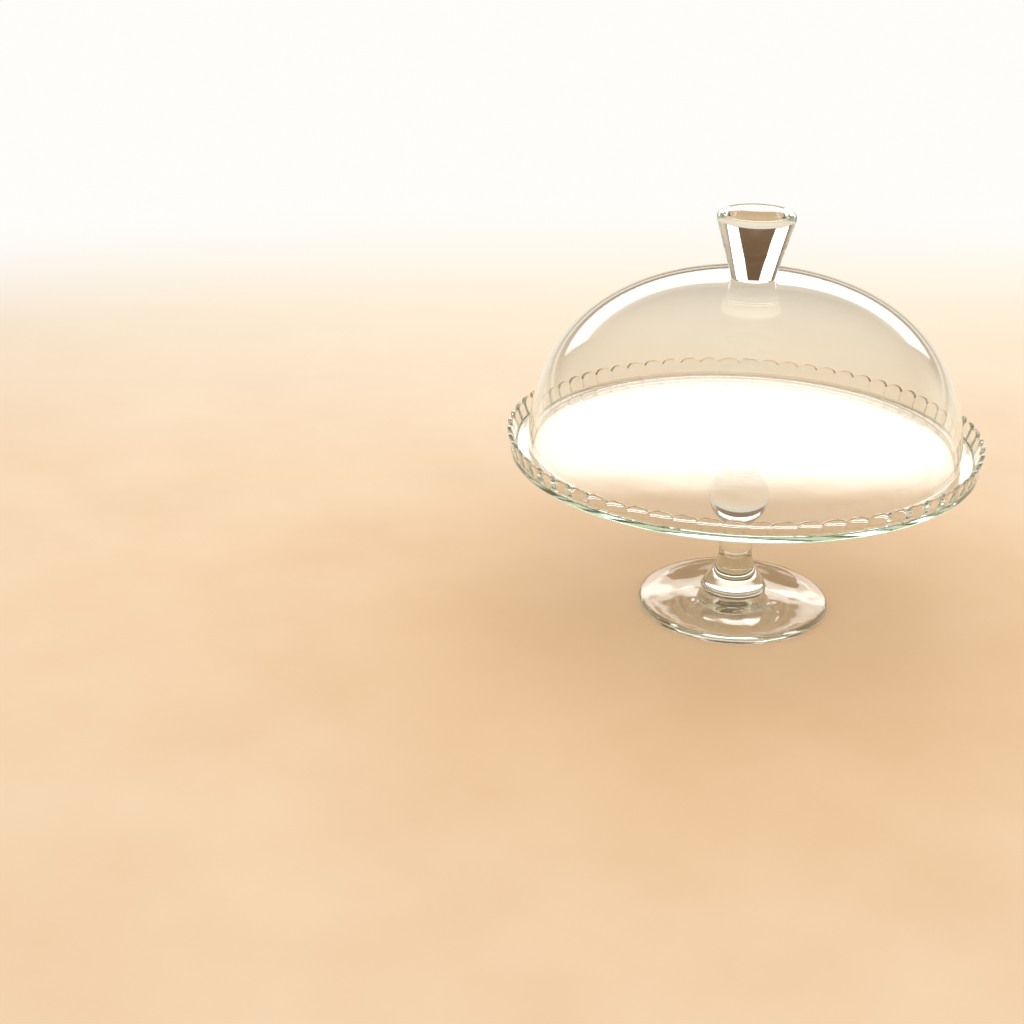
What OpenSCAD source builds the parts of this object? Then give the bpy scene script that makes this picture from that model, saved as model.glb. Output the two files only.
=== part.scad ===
// Glass cake stand with a lift-off dome.
// A pressed plate with a petalled rim is bonded to a pedestal with a ball knop and a round foot. A thin
// dome with a solid knob stands loose on the plate, inside the rim. Origin: on the table, on the axis.

/* [Plate] */
// Diameter across the tips of the rim petals
plate_d = 322; // [280:1:360]
// Thickness of the plate's disc
plate_t = 4.2; // [3.6:0.1:6]
// Small bevel under the edge of the disc
disc_bevel = 1.1; // [0.4:0.1:1.5]

/* [Petalled rim] */
// Number of petals round the rim
petals = 66; // [40:2:84]
// Height of a petal's tip above the plate's floor
rim_h = 11.3; // [8:0.1:16]
// How far a petal leans outwards from root to tip
rim_lean = 3.4; // [1:0.1:5]
// Thickness of a petal at its tip
rim_t = 2.9; // [2.4:0.1:3.6]
// Height of a petal's tip above the notches beside it
petal_rise = 2.8; // [1:0.1:3.5]
// How far a petal bows out beyond the notches at its tip
petal_bow = 1.6; // [0.6:0.1:1.9]
// How far a petal bows out beyond the notches at its root
root_bow = 0.8; // [0.1:0.1:1]
// Squareness of a petal's outline: 2 is a plain round
petal_round = 3; // [2:0.1:4]
// How far the inner edge of a petal's tip is rounded down
crest_drop = 0.4; // [0.2:0.1:1.6]
// Distance of a petal's crest from its outer face
crest_back = 0.9; // [0.5:0.1:1.2]
// Width of the plain ledge between the disc's edge and the petals' roots
ledge_w = 0.6; // [0.2:0.1:1.5]
// Thickness of the rim where it leaves its inner fillet
root_t = 3.2; // [2.6:0.1:4.5]
// Width of the fillet between the floor and the rim
fillet_w = 1.6; // [0.8:0.1:5]
// Height of the fillet between the floor and the rim
fillet_h = 1.2; // [0.6:0.1:4]

/* [Foot] */
// Diameter of the foot
foot_d = 133; // [110:1:160]
// Thickness of the foot at its edge
foot_edge_t = 5.6; // [4.4:0.1:8]
// Radius of the rounded upper edge of the foot
foot_round = 3; // [1.5:0.1:3.6]
// Radius of the rounded lower edge of the foot
foot_heel = 1.2; // [0.4:0.1:2]
// How far the foot's top climbs from its edge to the bell
foot_rise = 7.4; // [4:0.1:12]
// Width of the flat ring that the foot stands on
ring_w = 6; // [3:0.5:10]
// Height of the hollow under the foot
hollow_h = 2.2; // [0.8:0.1:4]
// Diameter of the flat roof in the middle of the hollow
hollow_d = 46; // [30:1:60]

/* [Stem] */
// Height from the table to the pad under the plate
pedestal_h = 115.6; // [102:0.1:150]
// Widest diameter of the bell at the bottom of the stem
bell_d = 43; // [38:0.5:54]
// Radius of the bell's rounded lip
bell_lip = 4.2; // [2.5:0.1:6]
// Radius of the fillet between the lip and the foot's top
bell_fillet = 2.6; // [1:0.1:4]
// Height of the bell from the foot's top to the neck
bell_h = 29; // [22:0.5:36]
// Diameter of the neck
neck_d = 23; // [18:0.5:28]
// Diameter of the ball knop
knop_d = 41.4; // [36:0.2:46]
// Distance from the pad down to the middle of the knop
knop_drop = 36.5; // [35:0.5:44]
// Radius of the fillets between the knop and the necks
knop_fillet = 4; // [2:0.5:6]
// Diameter of the pad under the plate
pad_d = 40; // [34:0.5:48]
// Thickness of the pad's edge
pad_t = 2; // [1:0.1:3]

/* [Dome] */
// Room between the dome and the edge of the plate's floor
dome_play = 6.4; // [2:0.1:14]
// Height of the dome without its knob
dome_h = 117; // [90:1:150]
// Thickness of the dome's glass
dome_t = 3.2; // [2.4:0.1:5]
// Squareness of the dome's shoulder: 2 is an ellipse
dome_power = 2.3; // [2:0.05:3]
// Width of the flat land round the knob on the crown
land_w = 1.5; // [0.5:0.1:4]

/* [Knob] */
// Diameter of the knob where it meets the dome
knob_base_d = 29; // [22:0.5:36]
// Diameter of the knob at its top edge
knob_top_d = 52; // [44:0.5:60]
// Height of the knob
knob_h = 46; // [36:0.5:58]
// Radius of the knob's rounded top edge
knob_round = 4; // [2:0.5:6]
// How far the knob's top is domed
knob_crown = 2; // [0.5:0.1:3]

/* [Joins] */
// Thickness of the clear bonding films
bond_t = 0.3; // [0.2:0.05:0.6]
// How far a bonding film stops short of the edge it lies under
bond_inset = 0.5; // [0.2:0.1:1]
// Gap between the resting dome and the plate's floor
seat_gap = 0.2; // [0.1:0.05:0.5]

/* [Hidden] */

$fn = 96;
petal_steps = 4;
curve_steps = 14;
dome_steps = 28;

clear_glass = [0.88, 0.95, 0.91, 0.45];
bond_clear = [0.93, 0.93, 0.88, 0.6];

foot_r = foot_d / 2;
bell_r = bell_d / 2;
neck_r = neck_d / 2;
knop_r = knop_d / 2;
pad_r = pad_d / 2;

plate_z = pedestal_h + bond_t;
floor_z = plate_z + plate_t;
tip_r = plate_d / 2;
root_r = tip_r - rim_lean;
disc_r = root_r + ledge_w;
inner_root_r = root_r - root_t;
floor_r = inner_root_r - fillet_w;

dome_z = floor_z + seat_gap;
dome_r = floor_r - dome_play;
land_r = knob_base_d / 2 + land_w;
land_z = dome_z + shoulder_z(land_r, dome_r, dome_h);
knob_z = land_z + bond_t;

// Points of an arc round c from angle a to angle b.
function arc(c, r, a, b, n = curve_steps) =
    [for (i = [0:n]) c + r * [cos(a + (b - a) * i / n), sin(a + (b - a) * i / n)]];

// Points of a cubic curve with end points p, s and handles q, v, its end points left out.
function curve(p, q, v, s, n = curve_steps) =
    [for (i = [1:n - 1]) let (t = i / n, u = 1 - t)
        u * u * u * p + 3 * u * u * t * q + 3 * u * t * t * v + t * t * t * s];

// Height of the dome's shoulder curve at radius r: (r/a)^p + (z/b)^p = 1.
function shoulder_z(r, a, b) = b * pow(1 - pow(r / a, dome_power), 1 / dome_power);

// Points of the shoulder curve from the rim up to radius r_end.
function shoulder(a, b, r_end, n = dome_steps) =
    let (last = asin(pow(shoulder_z(r_end, a, b) / b, dome_power / 2)))
    [for (i = [0:n]) let (s = last * i / n)
        [a * pow(cos(s), 2 / dome_power), b * pow(sin(s), 2 / dome_power)]];

// Half of the pedestal's cross-section: hollow underside, foot, bell, neck, knop, neck and pad.
function pedestal_outline() =
    let (ring_out = foot_r - foot_heel,
         ring_in = ring_out - ring_w,
         crown_z = foot_edge_t + foot_rise,
         lip = [bell_r - bell_lip, crown_z + bell_lip * sin(50)],
         tilt = asin((crown_z + bell_fillet - lip[1]) / (bell_lip + bell_fillet)),
         tuck = lip + (bell_lip + bell_fillet) * [cos(tilt), sin(tilt)],
         lip_high = lip + bell_lip * [cos(30), sin(30)],
         neck_low = [neck_r, crown_z + bell_h],
         knop = [0, pedestal_h - knop_drop],
         reach = sqrt(pow(knop_r + knop_fillet, 2) - pow(neck_r + knop_fillet, 2)),
         turn = atan2(reach, neck_r + knop_fillet),
         dip = [neck_r + knop_fillet, 0],
         pad_sweep = pad_r - neck_r,
         pad_low = [pad_r, pedestal_h - pad_t - pad_sweep])
    concat(
        [[0, hollow_h], [hollow_d / 2, hollow_h], [ring_in, 0]],
        arc([ring_out, foot_heel], foot_heel, -90, 0, 6),
        arc([foot_r - foot_round, foot_edge_t - foot_round], foot_round, 0, 80, 8),
        curve([foot_r - foot_round, foot_edge_t], [foot_r * 0.7, foot_edge_t + 1],
            [bell_r * 1.6, crown_z - 1], tuck - [0, bell_fillet]),
        arc(tuck, bell_fillet, 270, 180 + tilt, 6),
        arc(lip, bell_lip, tilt + 4, 30, 6),
        curve(lip_high, lip_high + bell_h * 0.3 * [-0.5, 0.866], neck_low - [0, bell_h * 0.4], neck_low),
        [neck_low],
        arc(knop + dip - [0, reach], knop_fillet, 180, 180 - turn, 8),
        arc(knop, knop_r, -turn + 1, turn - 1, 28),
        arc(knop + dip + [0, reach], knop_fillet, 180 + turn, 180, 8),
        arc(pad_low, pad_sweep, 180, 90, 10),
        [[pad_r, pedestal_h], [0, pedestal_h]]);

// Pressed pedestal: foot, bell, neck, ball knop and pad in one piece.
module pedestal() {
    color(clear_glass) rotate_extrude() polygon(pedestal_outline());
}

// Clear film that bonds the plate to the pedestal's pad.
module stem_bond() {
    color(bond_clear) translate([0, 0, pedestal_h]) cylinder(h = bond_t, r = pad_r - bond_inset);
}

// Phase of a column across its petal: -1 at a notch, 0 at the petal's middle.
function phase(i) = 2 * (i % petal_steps) / petal_steps - 1;

// One column of the plate's skin at the petal phase t, from the underside over the rim to the floor.
function plate_column(t) =
    let (swell = 1 - pow(abs(t), petal_round),
         tip_z = floor_z + rim_h - petal_rise * (1 - swell),
         tip_out = tip_r - petal_bow * (1 - swell),
         inner_slope = (rim_lean + root_t - rim_t) / (rim_h - fillet_h),
         inner_z = tip_z - crest_drop,
         tip_in = inner_root_r + inner_slope * (inner_z - floor_z - fillet_h))
    [[disc_r - disc_bevel, plate_z],
     [disc_r, plate_z + disc_bevel],
     [disc_r, floor_z],
     [root_r - root_bow * (1 - swell), floor_z],
     [tip_out, tip_z - crest_drop / 2],
     [tip_out - crest_back, tip_z],
     [tip_in, inner_z],
     [inner_root_r, floor_z + fillet_h],
     [floor_r, floor_z]];

// Pressed plate: a flat disc with an upright rim of petals, wound round as one closed skin.
module cake_plate() {
    columns = petals * petal_steps;
    rows = len(plate_column(0));
    turn = 360 / columns;
    skin = [for (i = [0:columns - 1], p = plate_column(phase(i))) let (a = turn * (i - petal_steps / 2))
        [p[0] * cos(a), p[0] * sin(a), p[1]]];
    under = len(skin);
    function at(i, k) = (i % columns) * rows + k;
    color(clear_glass) polyhedron(
        points = concat(skin, [[0, 0, plate_z], [0, 0, floor_z]]),
        faces = concat(
            [for (i = [0:columns - 1], k = [0:rows - 2]) [at(i, k), at(i, k + 1), at(i + 1, k + 1)]],
            [for (i = [0:columns - 1], k = [0:rows - 2]) [at(i, k), at(i + 1, k + 1), at(i + 1, k)]],
            [for (i = [0:columns - 1]) [under, at(i, 0), at(i + 1, 0)]],
            [for (i = [0:columns - 1]) [under + 1, at(i + 1, rows - 1), at(i, rows - 1)]]));
}

// Blown dome: an even wall with a square shoulder, a ground rim and a flat land for the knob.
module dome_shell() {
    inner_r = dome_r - dome_t;
    inner_h = dome_h - dome_t;
    inner = shoulder(inner_r, inner_h, land_r);
    color(clear_glass) translate([0, 0, dome_z]) rotate_extrude() polygon(concat(
        shoulder(dome_r, dome_h, land_r),
        [[0, land_z - dome_z], [0, inner_h]],
        [for (i = [len(inner) - 1:-1:0]) inner[i]]));
}

// Clear film that bonds the knob to the dome's crown.
module knob_bond() {
    color(bond_clear) translate([0, 0, land_z]) cylinder(h = bond_t, r = knob_base_d / 2 - bond_inset);
}

// Solid knob: a cone that widens upwards to a rounded edge and a slightly domed top.
module dome_knob() {
    base_r = knob_base_d / 2;
    top_r = knob_top_d / 2;
    edge = [top_r - knob_round, knob_h - knob_crown - knob_round];
    lean = atan2(top_r - base_r, edge[1]);
    color(clear_glass) translate([0, 0, knob_z]) rotate_extrude() polygon(concat(
        [[0, 0], [base_r, 0]],
        arc(edge, knob_round, -lean, 86, 10),
        curve([edge[0], knob_h - knob_crown], [edge[0] * 0.66, knob_h],
            [edge[0] * 0.33, knob_h], [0, knob_h], 8),
        [[0, knob_h]]));
}

pedestal();
stem_bond();
cake_plate();
dome_shell();
knob_bond();
dome_knob();
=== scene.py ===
"""A clear glass cake stand with a petalled plate and a lift-off dome, dressed for a soft studio picture."""

import bpy
import numpy as np
from mathutils import Matrix, Vector


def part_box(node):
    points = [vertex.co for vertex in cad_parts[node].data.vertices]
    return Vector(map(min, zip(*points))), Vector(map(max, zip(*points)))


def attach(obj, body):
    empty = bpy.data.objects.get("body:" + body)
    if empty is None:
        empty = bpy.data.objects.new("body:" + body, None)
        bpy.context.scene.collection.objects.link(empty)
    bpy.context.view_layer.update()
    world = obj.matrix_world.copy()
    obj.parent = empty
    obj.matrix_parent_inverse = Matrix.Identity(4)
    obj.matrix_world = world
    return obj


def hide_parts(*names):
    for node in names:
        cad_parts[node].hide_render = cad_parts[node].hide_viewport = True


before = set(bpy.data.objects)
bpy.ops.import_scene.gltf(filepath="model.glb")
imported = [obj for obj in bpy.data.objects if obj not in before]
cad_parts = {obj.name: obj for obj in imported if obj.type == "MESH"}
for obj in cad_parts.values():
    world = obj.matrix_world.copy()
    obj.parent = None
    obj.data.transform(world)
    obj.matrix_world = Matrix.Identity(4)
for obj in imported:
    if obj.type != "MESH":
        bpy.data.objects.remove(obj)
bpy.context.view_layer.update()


# Pedestal: foot, bell, neck and ball knop, pressed in one piece of clear soda-lime glass and fire-polished,
# so every edge is softly rounded. It stands on a narrow flat ring round a shallow flat hollow.
MM = 0.001


def arc(centre, radius, start, end, steps):
    """Points of a circle round centre: centre + radius * (cos a, sin a), with a from start to end in degrees."""
    a = np.radians(np.linspace(start, end, steps))
    return np.asarray(centre) + radius * np.stack([np.cos(a), np.sin(a)], -1)


def bend(a, b, c, d, steps):
    """Points of a cubic curve from a to d that leaves towards b and arrives from c, without its two ends."""
    t = np.linspace(0, 1, steps + 2)[1:-1, None]
    u = 1 - t
    return u**3 * np.asarray(a) + 3 * u**2 * t * np.asarray(b) + 3 * u * t**2 * np.asarray(c) + t**3 * np.asarray(d)


def turned(profile, columns):
    """A profile of (radius, height) points carried round Z: point (i, k) is profile point k, turned i/columns of
    a full turn."""
    a = np.linspace(0, 2 * np.pi, columns, endpoint=False)[:, None]
    r, z = profile[:, 0], profile[:, 1]
    return np.stack([r * np.cos(a), r * np.sin(a), np.broadcast_to(z, (columns, len(z)))], -1)


def skin(name, grid):
    """A closed mesh over a grid of points (columns round Z, rows from the lower pole to the upper pole).
    Neighbouring points span quads, the columns close on themselves, and the first and last rows are poles."""
    columns, rows = grid.shape[0], grid.shape[1] - 2
    points = np.concatenate([grid[:, 1:-1].reshape(-1, 3), grid[:1, 0], grid[:1, -1]])
    i, k = np.meshgrid(np.arange(columns), np.arange(rows - 1), indexing="ij")
    here, beside = i * rows + k, (i + 1) % columns * rows + k
    quads = np.stack([here, beside, beside + 1, here + 1], -1).reshape(-1, 4)
    edge = np.arange(columns) * rows
    after = np.roll(edge, -1)
    low, high = columns * rows, columns * rows + 1
    fans = np.concatenate([
        np.stack([np.full(columns, low), after, edge], -1),
        np.stack([np.full(columns, high), edge + rows - 1, after + rows - 1], -1)])
    mesh = bpy.data.meshes.new(name)
    mesh.from_pydata(points, [], quads.tolist() + fans.tolist())
    mesh.polygons.foreach_set("use_smooth", np.ones(len(mesh.polygons), bool))
    mesh.update()
    piece = bpy.data.objects.new(name, mesh)
    bpy.context.scene.collection.objects.link(piece)
    return piece


def mixed(tree, factor, a, b):
    """A colour node: a where factor is 0, b where it is 1. Each of a and b is a colour or another node's output."""
    node = tree.nodes.new("ShaderNodeMix")
    node.data_type = "RGBA"
    tree.links.new(factor, node.inputs["Factor"])
    for name, value in (("A", a), ("B", b)):
        if isinstance(value, tuple):
            node.inputs[name].default_value = value
        else:
            tree.links.new(value, node.inputs[name])
    return node.outputs["Result"]


def mixed_shader(tree, factor, first, second):
    """A shader node: first where factor is 0, second where it is 1."""
    node = tree.nodes.new("ShaderNodeMixShader")
    for socket, value in zip(node.inputs, (factor, first, second)):
        tree.links.new(value, socket)
    return node.outputs["Shader"]


def handled_glass_group():
    """Node group: slow waves left by the mould, fine cords in the melt and the faint smears of wiped glass."""
    group = bpy.data.node_groups.new("handled_glass", "ShaderNodeTree")
    face = group.interface
    face.new_socket("Vector", in_out="INPUT", socket_type="NodeSocketVector")
    for name in ("Wave Scale", "Smear Scale", "Smear Roughness"):
        face.new_socket(name, in_out="INPUT", socket_type="NodeSocketFloat")
    face.new_socket("Tint A", in_out="INPUT", socket_type="NodeSocketColor")
    face.new_socket("Tint B", in_out="INPUT", socket_type="NodeSocketColor")
    face.new_socket("Color", in_out="OUTPUT", socket_type="NodeSocketColor")
    face.new_socket("Roughness", in_out="OUTPUT", socket_type="NodeSocketFloat")
    face.new_socket("Height", in_out="OUTPUT", socket_type="NodeSocketFloat")
    nodes, links = group.nodes, group.links
    given, out = nodes.new("NodeGroupInput"), nodes.new("NodeGroupOutput")
    waves = nodes.new("ShaderNodeTexNoise")
    waves.inputs["Detail"].default_value = 1.0
    links.new(given.outputs["Vector"], waves.inputs["Vector"])
    links.new(given.outputs["Wave Scale"], waves.inputs["Scale"])
    links.new(waves.outputs["Fac"], out.inputs["Height"])
    smears = nodes.new("ShaderNodeTexNoise")
    smears.inputs["Detail"].default_value = 6.0
    smears.inputs["Distortion"].default_value = 1.5
    links.new(given.outputs["Vector"], smears.inputs["Vector"])
    links.new(given.outputs["Smear Scale"], smears.inputs["Scale"])
    worn = nodes.new("ShaderNodeMapRange")
    worn.inputs["From Min"].default_value = 0.52
    worn.inputs["From Max"].default_value = 0.75
    worn.inputs["To Min"].default_value = 0.0
    links.new(smears.outputs["Fac"], worn.inputs["Value"])
    links.new(given.outputs["Smear Roughness"], worn.inputs["To Max"])
    links.new(worn.outputs["Result"], out.inputs["Roughness"])
    cords = mixed(group, waves.outputs["Fac"], given.outputs["Tint A"], given.outputs["Tint B"])
    links.new(cords, out.inputs["Color"])
    return group


handled_glass = handled_glass_group()


def let_lamps_through(material, shader):
    """Ends the material: the shader to the eye, nearly plain air to a lamp's rays, so clear glass shades little."""
    tree = material.node_tree
    lit = tree.nodes.new("ShaderNodeLightPath")
    clear = tree.nodes.new("ShaderNodeBsdfTransparent")
    clear.inputs["Color"].default_value = (0.98, 0.985, 0.98, 1)
    shade = mixed_shader(tree, lit.outputs["Is Shadow Ray"], shader.outputs["BSDF"], clear.outputs["BSDF"])
    tree.links.new(shade, tree.nodes["Material Output"].inputs["Surface"])


def clear_glass(name, wave_scale, wave_height, green_depth):
    """Clear glass with a slight green body: a Principled glass that lamps shine through, absorbing by its depth."""
    material = bpy.data.materials.new(name)
    material.use_nodes = True
    nodes, links = material.node_tree.nodes, material.node_tree.links
    glass = nodes["Principled BSDF"]
    glass.inputs["Transmission Weight"].default_value = 1.0
    glass.inputs["IOR"].default_value = 1.5
    where = nodes.new("ShaderNodeTexCoord")
    surface = nodes.new("ShaderNodeGroup")
    surface.node_tree = handled_glass
    surface.inputs["Wave Scale"].default_value = wave_scale
    surface.inputs["Smear Scale"].default_value = 38.0
    surface.inputs["Smear Roughness"].default_value = 0.012
    surface.inputs["Tint A"].default_value = (0.985, 1.0, 0.992, 1)
    surface.inputs["Tint B"].default_value = (1.0, 0.998, 0.99, 1)
    links.new(where.outputs["Object"], surface.inputs["Vector"])
    links.new(surface.outputs["Color"], glass.inputs["Base Color"])
    links.new(surface.outputs["Roughness"], glass.inputs["Roughness"])
    bump = nodes.new("ShaderNodeBump")
    bump.inputs["Strength"].default_value = 1.0
    bump.inputs["Distance"].default_value = wave_height
    links.new(surface.outputs["Height"], bump.inputs["Height"])
    links.new(bump.outputs["Normal"], glass.inputs["Normal"])
    let_lamps_through(material, glass)
    body = nodes.new("ShaderNodeVolumeAbsorption")
    body.inputs["Color"].default_value = (0.22, 0.75, 0.5, 1)
    body.inputs["Density"].default_value = green_depth
    links.new(body.outputs["Volume"], nodes["Material Output"].inputs["Volume"])
    return material


_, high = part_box("pedestal")
foot_r, pedestal_h = high.x, high.z
film_room = 0.02 * MM
foot_edge, foot_round, foot_heel, foot_rise = 5.6 * MM, 3 * MM, 1.2 * MM, 7.4 * MM
ring_w, ring_ease, hollow_h, hollow_r = 6 * MM, 4 * MM, 2.2 * MM, 23 * MM
bell_r, bell_lip, bell_fillet, bell_h, neck_r = 21.5 * MM, 4.2 * MM, 2.6 * MM, 29 * MM, 11.5 * MM
lip_seat, lip_open = 50, 30
knop_r, knop_drop, knop_fillet = 20.7 * MM, 36.5 * MM, 4 * MM
pad_r, pad_t, pad_round = 20 * MM, 2 * MM, 0.6 * MM
edge_row = 0.3 * MM
crown_z = foot_edge + foot_rise
knop_z = pedestal_h - knop_drop
ring_out = foot_r - foot_heel
ring_in = ring_out - ring_w
lip = np.array([bell_r - bell_lip, crown_z + bell_lip * np.sin(np.radians(lip_seat))])
lip_high = arc(lip, bell_lip, lip_open, lip_open, 1)[0]
flank = bell_h * 0.3 * np.array([-np.sin(np.radians(lip_open)), np.cos(np.radians(lip_open))])
tilt = np.degrees(np.arcsin((crown_z + bell_fillet - lip[1]) / (bell_lip + bell_fillet)))
tuck = arc(lip, bell_lip + bell_fillet, tilt, tilt, 1)[0]
bell_top = (neck_r, crown_z + bell_h)
dip_r = neck_r + knop_fillet
reach = np.sqrt((knop_r + knop_fillet) ** 2 - dip_r**2)
swing = np.degrees(np.arctan2(reach, dip_r))
pad_top = pedestal_h - film_room
sweep = pad_r - neck_r
pedestal_profile = np.concatenate([
    [(0, hollow_h), (hollow_r / 3, hollow_h), (hollow_r * 2 / 3, hollow_h), (hollow_r, hollow_h)],
    bend((hollow_r, hollow_h), (hollow_r * 1.3, hollow_h), (ring_in - ring_ease, edge_row), (ring_in, 0), 30),
    [(ring_in + edge_row, 0), (ring_in + ring_w / 2, 0), (ring_out - edge_row, 0)],
    arc((ring_out, foot_heel), foot_heel, -90, 0, 10),
    arc((foot_r - foot_round, foot_edge - foot_round), foot_round, 0, 80, 16),
    bend((foot_r - foot_round, foot_edge), (foot_r * 0.7, foot_edge + MM), (bell_r * 1.6, crown_z - MM),
         tuck - (0, bell_fillet), 40),
    arc(tuck, bell_fillet, 270, 180 + tilt, 16),
    arc(lip, bell_lip, tilt + 3, lip_open, 14),
    bend(lip_high, lip_high + flank, (neck_r, crown_z + bell_h * 0.6), bell_top, 32),
    [bell_top],
    arc((dip_r, knop_z - reach), knop_fillet, 180, 180 - swing, 14),
    arc((0, knop_z), knop_r, 2 - swing, swing - 2, 56),
    arc((dip_r, knop_z + reach), knop_fillet, 180 + swing, 180, 14),
    arc((pad_r, pad_top - pad_t - sweep), sweep, 180, 95, 20),
    arc((pad_r - pad_round, pad_top - pad_t + pad_round), pad_round, -80, 0, 6),
    arc((pad_r - pad_round, pad_top - pad_round), pad_round, 0, 90, 8),
    [(pad_r - 2 * pad_round, pad_top), (pad_r / 2, pad_top), (0, pad_top)]])
pedestal = skin("pressed_pedestal", turned(pedestal_profile, 240))
pedestal.data.materials.append(clear_glass("pedestal_glass", wave_scale=44.0, wave_height=0.38 * MM, green_depth=1.0))
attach(pedestal, "stand")
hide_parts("pedestal")


# Stem bond: a film of clear cured bond between the pedestal's pad and the underside of the plate, thinner
# than a sheet of card. It is poured, pressed flat and cured, and it all but vanishes between the two pieces.
def bond_film(name):
    """Clear bond with a faint warm cast and a few tiny seeds that roughen it; it hardly bends light."""
    material = bpy.data.materials.new(name)
    material.use_nodes = True
    nodes, links = material.node_tree.nodes, material.node_tree.links
    bond = nodes["Principled BSDF"]
    bond.inputs["Transmission Weight"].default_value = 1.0
    bond.inputs["IOR"].default_value = 1.03
    where = nodes.new("ShaderNodeTexCoord")
    seeds = nodes.new("ShaderNodeTexVoronoi")
    seeds.inputs["Scale"].default_value = 260.0
    cured = nodes.new("ShaderNodeMapRange")
    cured.inputs["From Min"].default_value = 0.05
    cured.inputs["From Max"].default_value = 0.2
    cured.inputs["To Min"].default_value = 0.12
    cured.inputs["To Max"].default_value = 0.0
    tone = mixed(material.node_tree, seeds.outputs["Distance"], (0.96, 0.95, 0.91, 1), (1.0, 0.995, 0.98, 1))
    links.new(where.outputs["Object"], seeds.inputs["Vector"])
    links.new(seeds.outputs["Distance"], cured.inputs["Value"])
    links.new(cured.outputs["Result"], bond.inputs["Roughness"])
    links.new(tone, bond.inputs["Base Color"])
    let_lamps_through(material, bond)
    return material


stem_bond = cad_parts["stem_bond"]
stem_bond.data.materials.clear()
stem_bond.data.materials.append(bond_film("bond_film"))


# Plate: a flat pressed disc of clear glass with an upright rim of petals standing just inside its edge.
# Each petal bows out between sharp notches; the glass shows green where it is looked through edgeways.
def eased(corners, cuts, steps):
    """Corner points (..., corner, 2) joined by straight runs, each inner corner eased by a parabola that touches
    both runs at the distance in cuts, with one more row just outside each end of the curve."""
    before, corner, after = corners[..., :-2, :], corners[..., 1:-1, :], corners[..., 2:, :]
    back, ahead = before - corner, after - corner
    cut = np.asarray(cuts)[:, None]
    back = back / np.linalg.norm(back, axis=-1, keepdims=True) * cut
    ahead = ahead / np.linalg.norm(ahead, axis=-1, keepdims=True) * cut
    s = np.linspace(0, 1, steps)[:, None]
    curve = corner[..., None, :] + (1 - s) ** 2 * back[..., None, :] + s**2 * ahead[..., None, :]
    guard = 1.25
    rows = np.concatenate([(corner + guard * back)[..., None, :], curve, (corner + guard * ahead)[..., None, :]], -2)
    rows = rows.reshape(*rows.shape[:-3], -1, 2)
    return np.concatenate([corners[..., :1, :], rows, corners[..., -1:, :]], -2)


low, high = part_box("cake_plate")
petals, petal_columns = 66, 20
tip_r, plate_z, tip_top = high.x, low.z, high.z
rim_h, rim_lean, rim_t, root_t = 11.3 * MM, 3.4 * MM, 2.9 * MM, 3.2 * MM
petal_rise, petal_bow, root_bow, crest_drop = 2.8 * MM, 1.6 * MM, 0.8 * MM, 0.4 * MM
ledge_w, fillet_h, petal_round = 0.6 * MM, 1.2 * MM, 3
floor_z = tip_top - rim_h
root_r = tip_r - rim_lean
disc_r = root_r + ledge_w
inner_root_r = root_r - root_t
phase = np.sin(np.pi / 2 * np.linspace(-1, 1, petal_columns, endpoint=False))
swell = np.tile(1 - np.abs(phase) ** petal_round, petals)
angle = 2 * np.pi / petals * (np.repeat(np.arange(petals), petal_columns) + np.tile(phase, petals) / 2)
tip_z = tip_top - petal_rise * (1 - swell)
tip_out = tip_r - petal_bow * (1 - swell)
inner_lean = (rim_lean + root_t - rim_t) / (rim_h - fillet_h)
tip_in = inner_root_r + inner_lean * (tip_z - crest_drop - floor_z - fillet_h)
heel_in = inner_root_r - inner_lean * fillet_h
under_z = plate_z + film_room
corner_r = 0, disc_r, disc_r, root_r - root_bow * (1 - swell), tip_out, tip_in, heel_in, 0
corner_z = under_z, under_z, floor_z, floor_z, tip_z, tip_z - crest_drop, floor_z, floor_z
plate_corners = np.stack([np.stack(np.broadcast_arrays(r, z, swell)[:2], -1) for r, z in zip(corner_r, corner_z)], 1)
corner_cuts = np.array([1.1, 0.4, 0.15, 0.9, 0.9, 1.3]) * MM
plate_rows = eased(plate_corners, corner_cuts, 7)
plate_grid = np.stack([plate_rows[..., 0] * np.cos(angle)[:, None], plate_rows[..., 0] * np.sin(angle)[:, None],
                       plate_rows[..., 1]], -1)
plate = skin("petal_plate", plate_grid)
plate.data.materials.append(clear_glass("plate_glass", wave_scale=22.0, wave_height=0.05 * MM, green_depth=1.8))
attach(plate, "stand")
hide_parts("cake_plate")


# Dome: blown clear glass of an even thin wall, square in the shoulder, with a rounded fire-polished rim that
# stands loose on the plate inside the petals. A small flat land on its crown carries the knob.
def shoulder(radius, height, power, share):
    """Points (r, z) with (r/radius)^power + (z/height)^power = 1; share runs from 0 at the rim to 1 at the crown."""
    s = np.pi / 2 * share
    return np.stack([radius * np.cos(s) ** (2 / power), height * np.sin(s) ** (2 / power)], -1)


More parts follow.
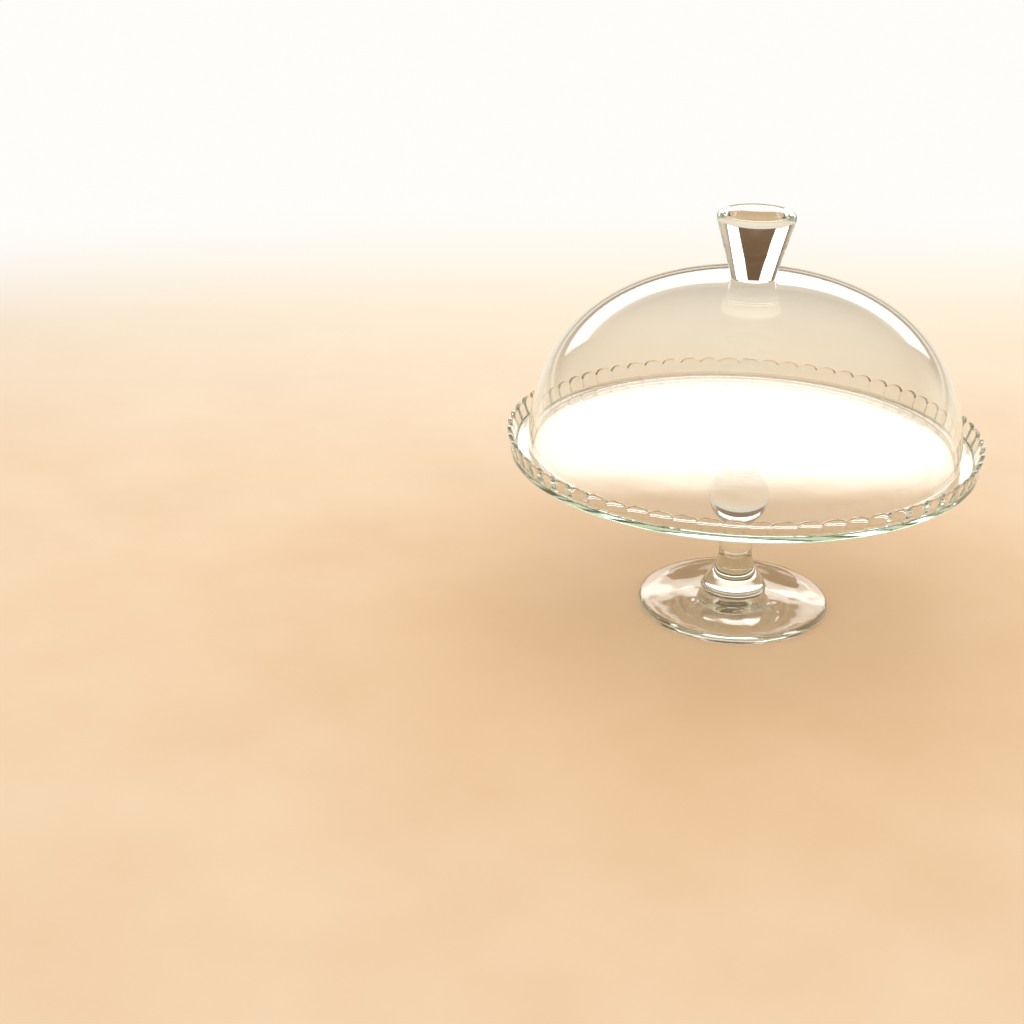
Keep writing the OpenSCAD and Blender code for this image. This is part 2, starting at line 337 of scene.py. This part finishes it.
low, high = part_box("dome_shell")
dome_r, dome_z, land_z = high.x, low.z, high.z
dome_t, dome_h, dome_power, land_r = 3.2 * MM, 117 * MM, 2.3, 16 * MM
rise = np.linspace(0, 1, 120)
outer = shoulder(dome_r, dome_h, dome_power, rise)
inner = shoulder(dome_r - dome_t, dome_h - dome_t, dome_power, rise)
land_top = land_z - dome_z - film_room
outer = outer[outer[:, 0] > land_r]
rim_edge = dome_t / 2
rim = arc((dome_r - rim_edge, rim_edge), rim_edge, 180, 360, 18)
inner = inner[inner[:, 1] > rim_edge]
outer = outer[outer[:, 1] > rim_edge]
dome_profile = np.concatenate([
    inner[::-1], rim, outer,
    [(land_r, land_top), (land_r - edge_row, land_top), (land_r / 2, land_top), (0, land_top)]]) + (0, dome_z)
dome_profile[0, 0] = 0
dome = skin("blown_dome", turned(dome_profile, 256))
dome.data.materials.append(clear_glass("dome_glass", wave_scale=14.0, wave_height=0.05 * MM, green_depth=1.0))
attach(dome, "dome")
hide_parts("dome_shell")


# Knob bond: a film of the same clear bond between the flat land of the dome's crown and the base of the knob.
# It is pressed flat and cured there, so that the knob carries the dome when it is lifted.
knob_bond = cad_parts["knob_bond"]
knob_bond.data.materials.clear()
knob_bond.data.materials.append(stem_bond.data.materials[0])


# Knob: a solid gob of clear glass, drawn into a cone that widens upwards, with a rounded top edge and a
# slightly domed top. It is fire-polished and acts as a thick lens.
low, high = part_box("dome_knob")
knob_z, knob_top, top_r = low.z + film_room, high.z, high.x
base_r, knob_round, knob_crown = 14.5 * MM, 4 * MM, 2 * MM
edge = np.array([top_r - knob_round, knob_top - knob_crown - knob_round])
cone = np.degrees(np.arctan2(top_r - base_r, edge[1] - knob_z))
base_round = 0.5 * MM
knob_profile = np.concatenate([
    [(0, knob_z), (base_r / 2, knob_z), (base_r - 2 * base_round, knob_z)],
    arc((base_r - base_round, knob_z + base_round), base_round, -90, -cone, 8),
    arc(edge, knob_round, -cone, 86, 24),
    bend((edge[0], knob_top - knob_crown), (edge[0] * 0.66, knob_top), (edge[0] * 0.33, knob_top), (0, knob_top), 24),
    [(0, knob_top)]])
knob = skin("flared_knob", turned(knob_profile, 192))
knob.data.materials.append(clear_glass("knob_glass", wave_scale=34.0, wave_height=0.05 * MM, green_depth=1.0))
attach(knob, "dome")
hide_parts("dome_knob")


# Table: a broad pale table top of limewashed plaster, with a painted shadow of darker warm beige round the stand and,
# behind it, a paler colour painted in for the back light's glow. It is trowelled, so its tone is cloudy, and it fades
# into the white of the room well before its edges.
def soft_step(tree, value, start, end):
    """A value node: 0 below start, 1 above end, and a smooth rise between them."""
    node = tree.nodes.new("ShaderNodeMapRange")
    node.interpolation_type = "SMOOTHSTEP"
    node.inputs["From Min"].default_value = start
    node.inputs["From Max"].default_value = end
    tree.links.new(value, node.inputs["Value"])
    return node.outputs["Result"]


def reckon(tree, operation, a, b):
    """A value node: one step of arithmetic, such as a product or the larger of the two, on a and b."""
    node = tree.nodes.new("ShaderNodeMath")
    node.operation = operation
    tree.links.new(a, node.inputs[0])
    tree.links.new(b, node.inputs[1])
    return node.outputs["Value"]


def distance_from(tree, place, point):
    """A value node: how far the place lies from a fixed point, in metres."""
    node = tree.nodes.new("ShaderNodeVectorMath")
    node.operation = "DISTANCE"
    node.inputs[1].default_value = point
    tree.links.new(place, node.inputs[0])
    return node.outputs["Value"]


floor_reach, floor_drop = 12.0, 0.05 * MM
room_tone, open_white = (0.88, 0.79, 0.66, 1), (1.0, 0.985, 0.955, 1)
floor_mesh = bpy.data.meshes.new("table_top")
floor_corners = floor_reach * np.array([(-1, -1, 0), (1, -1, 0), (1, 1, 0), (-1, 1, 0)])
floor_mesh.from_pydata(floor_corners.tolist(), [], [(0, 1, 2, 3)])
floor = bpy.data.objects.new("table_top", floor_mesh)
bpy.context.scene.collection.objects.link(floor)
floor.location.z = -floor_drop
plaster = bpy.data.materials.new("limewash")
plaster.use_nodes = True
tree = plaster.node_tree
chalk = tree.nodes["Principled BSDF"]
chalk.inputs["Roughness"].default_value = 0.8
place = tree.nodes.new("ShaderNodeTexCoord").outputs["Object"]
mottle = tree.nodes.new("ShaderNodeTexNoise")
mottle.inputs["Scale"].default_value = 9.0
mottle.inputs["Detail"].default_value = 9.0
tree.links.new(place, mottle.inputs["Vector"])
pale = mixed(tree, mottle.outputs["Fac"], (0.80, 0.56, 0.35, 1), (0.92, 0.73, 0.53, 1))
# Painted shadow: a darker, warmer beige pool round the stand's foot, fading out within half a metre of it.
painted_shadow_tone = mixed(tree, mottle.outputs["Fac"], (0.75, 0.48, 0.26, 1), (0.85, 0.60, 0.37, 1))
outside_painted_shadow = soft_step(tree, distance_from(tree, place, (0, -0.05, 0)), 0.05, 0.5)
plaster_with_painted_shadow = mixed(tree, outside_painted_shadow, painted_shadow_tone, pale)
along = tree.nodes.new("ShaderNodeSeparateXYZ")
tree.links.new(place, along.inputs["Vector"])
# Painted light: towards the back the plaster turns a paler, less warm colour that stands in for the back light's
# glow.
plaster_with_painted_light = mixed(tree, soft_step(tree, along.outputs["Y"], 0.0, 1.03), plaster_with_painted_shadow, (0.77, 0.715, 0.615, 1))
tree.links.new(plaster_with_painted_light, chalk.inputs["Base Color"])

# Its far part turns to plain white for the camera and to the room's own tone in the glass, which mirrors what
# lies farthest off as dim: that draws the thin dark outline of the dome.
path = tree.nodes.new("ShaderNodeLightPath")
in_glass = reckon(tree, "MAXIMUM", path.outputs["Is Glossy Ray"], path.outputs["Is Transmission Ray"])
in_view = reckon(tree, "MAXIMUM", path.outputs["Is Camera Ray"], in_glass)
from_front = distance_from(tree, place, (0, -1.2, 0))
from_stand = distance_from(tree, place, (0, 0, 0))
lost = reckon(tree, "MAXIMUM", soft_step(tree, from_front, 1.9, 2.4), soft_step(tree, from_stand, 1.25, 2.4))
veil = reckon(tree, "MULTIPLY", lost, in_view)
glance = reckon(tree, "MULTIPLY", soft_step(tree, from_front, 2.6, 4.5), path.outputs["Is Reflection Ray"])
dusk = mixed(tree, glance, room_tone, (0.25, 0.18, 0.105, 1))
white = tree.nodes.new("ShaderNodeEmission")
tree.links.new(mixed(tree, path.outputs["Is Camera Ray"], dusk, open_white), white.inputs["Color"])
faded = mixed_shader(tree, veil, chalk.outputs["BSDF"], white.outputs["Emission"])
tree.links.new(faded, tree.nodes["Material Output"].inputs["Surface"])
floor_mesh.materials.append(plaster)


# Light: a broad softbox behind the stand that fades towards its top, a soft one overhead, and a pale room whose
# ceiling and back wall are dark to the glass alone, so that it takes bright faces and thin dark edges.
def softbox(name, place, aim, width, height, radiance, colour):
    """A rectangular lamp of a given radiance at place, facing aim, unseen by the camera itself."""
    light = bpy.data.lights.new(name, "AREA")
    light.shape = "RECTANGLE"
    light.size, light.size_y = width, height
    light.energy = radiance * np.pi * width * height
    light.color = colour
    lamp = bpy.data.objects.new(name, light)
    bpy.context.scene.collection.objects.link(lamp)
    lamp.location = place
    lamp.rotation_euler = (Vector(aim) - Vector(place)).to_track_quat("-Z", "Y").to_euler()
    lamp.visible_camera = False
    return lamp


back_z, back_w, back_h = 0.60, 2.2, 0.48
back = softbox("back_softbox", place=(0.15, 1.35, back_z), aim=(0.15, 0, back_z), width=back_w, height=back_h,
               radiance=3.5, colour=(1.0, 0.98, 0.94))
back.data.use_nodes = True
tree = back.data.node_tree
sheet = tree.nodes.new("ShaderNodeNewGeometry")
sheet_axes = tree.nodes.new("ShaderNodeSeparateXYZ")
tree.links.new(sheet.outputs["Position"], sheet_axes.inputs["Vector"])
climb = tree.nodes.new("ShaderNodeMapRange")
climb.inputs["From Min"].default_value = back_z - back_h / 2
climb.inputs["From Max"].default_value = back_z + back_h / 2
tree.links.new(sheet_axes.outputs["Z"], climb.inputs["Value"])
fade = tree.nodes.new("ShaderNodeValToRGB")
fade.color_ramp.interpolation = "EASE"
fade.color_ramp.elements[0].position = 0.0
fade.color_ramp.elements[0].color = (0.5, 0.5, 0.5, 1)
fade.color_ramp.elements[1].position = 0.81
fade.color_ramp.elements[1].color = (0.08, 0.08, 0.08, 1)
for brightest in (0.55, 0.64):
    fade.color_ramp.elements.new(brightest).color = (1, 1, 1, 1)
tree.links.new(climb.outputs["Result"], fade.inputs["Fac"])
tree.links.new(fade.outputs["Color"], tree.nodes["Emission"].inputs["Strength"])
top = softbox("top_softbox", place=(0.1, 0.3, 2.3), aim=(0, 0, 0.1), width=2.0, height=2.0,
              radiance=1.1, colour=(1.0, 0.96, 0.90))
top.visible_glossy = False
top.visible_transmission = False

# The camera sees the room white, the glass sees it pale with a dark ceiling and a dark flag behind the stand,
# and the plaster is lit by an even fill.
world = bpy.data.worlds.new("pale_room")
bpy.context.scene.world = world
world.use_nodes = True
tree = world.node_tree
where = tree.nodes.new("ShaderNodeTexCoord")
facing = tree.nodes.new("ShaderNodeSeparateXYZ")
tree.links.new(where.outputs["Generated"], facing.inputs["Vector"])
room = mixed(tree, soft_step(tree, facing.outputs["Z"], 0.05, 0.38), room_tone, (0.12, 0.075, 0.038, 1))
behind = soft_step(tree, facing.outputs["Y"], 0.55, 0.8)
above = soft_step(tree, facing.outputs["Z"], 0.0, 0.045)
flagged = mixed(tree, reckon(tree, "MULTIPLY", behind, above), room, (0.15, 0.085, 0.045, 1))
through_glass = tree.nodes.new("ShaderNodeBackground")
tree.links.new(flagged, through_glass.inputs["Color"])
seen = tree.nodes["Background"]
seen.inputs["Color"].default_value = open_white
fill = tree.nodes.new("ShaderNodeBackground")
fill.inputs["Color"].default_value = (1.0, 0.96, 0.90, 1)
fill.inputs["Strength"].default_value = 0.86
path = tree.nodes.new("ShaderNodeLightPath")
looked_at = mixed_shader(tree, path.outputs["Is Camera Ray"], through_glass.outputs["Background"],
                         seen.outputs["Background"])
lights_plaster = tree.nodes.new("ShaderNodeMath")
lights_plaster.operation = "GREATER_THAN"
lights_plaster.inputs[1].default_value = 0.5
tree.links.new(path.outputs["Diffuse Depth"], lights_plaster.inputs[0])
lit_room = mixed_shader(tree, lights_plaster.outputs["Value"], looked_at, fill.outputs["Background"])
tree.links.new(lit_room, tree.nodes["World Output"].inputs["Surface"])


# Camera: level with the picture's own view of the stand, looking down at it from the front left.
image_px, focal_px, sensor_mm = 1024, 1800, 36
camera_place = Vector((-0.1569, -1.1503, 0.5603))
pitch, roll = np.radians(23.19), np.radians(0.61)
lens = bpy.data.cameras.new("view")
lens.sensor_width = sensor_mm
lens.lens = sensor_mm * focal_px / image_px
camera = bpy.data.objects.new("view", lens)
bpy.context.scene.collection.objects.link(camera)
camera.matrix_world = (Matrix.Translation(camera_place) @ Matrix.Rotation(np.pi / 2 - pitch, 4, "X")
                       @ Matrix.Rotation(roll, 4, "Z"))
bpy.context.scene.camera = camera

# Glass needs long light paths: a ray runs through the plate by dozens of inner reflections.
light_paths = bpy.context.scene.cycles
light_paths.max_bounces = 48
light_paths.glossy_bounces = 48
light_paths.transmission_bounces = 48
light_paths.transparent_max_bounces = 48
bpy.context.scene.view_settings.view_transform = "Standard"
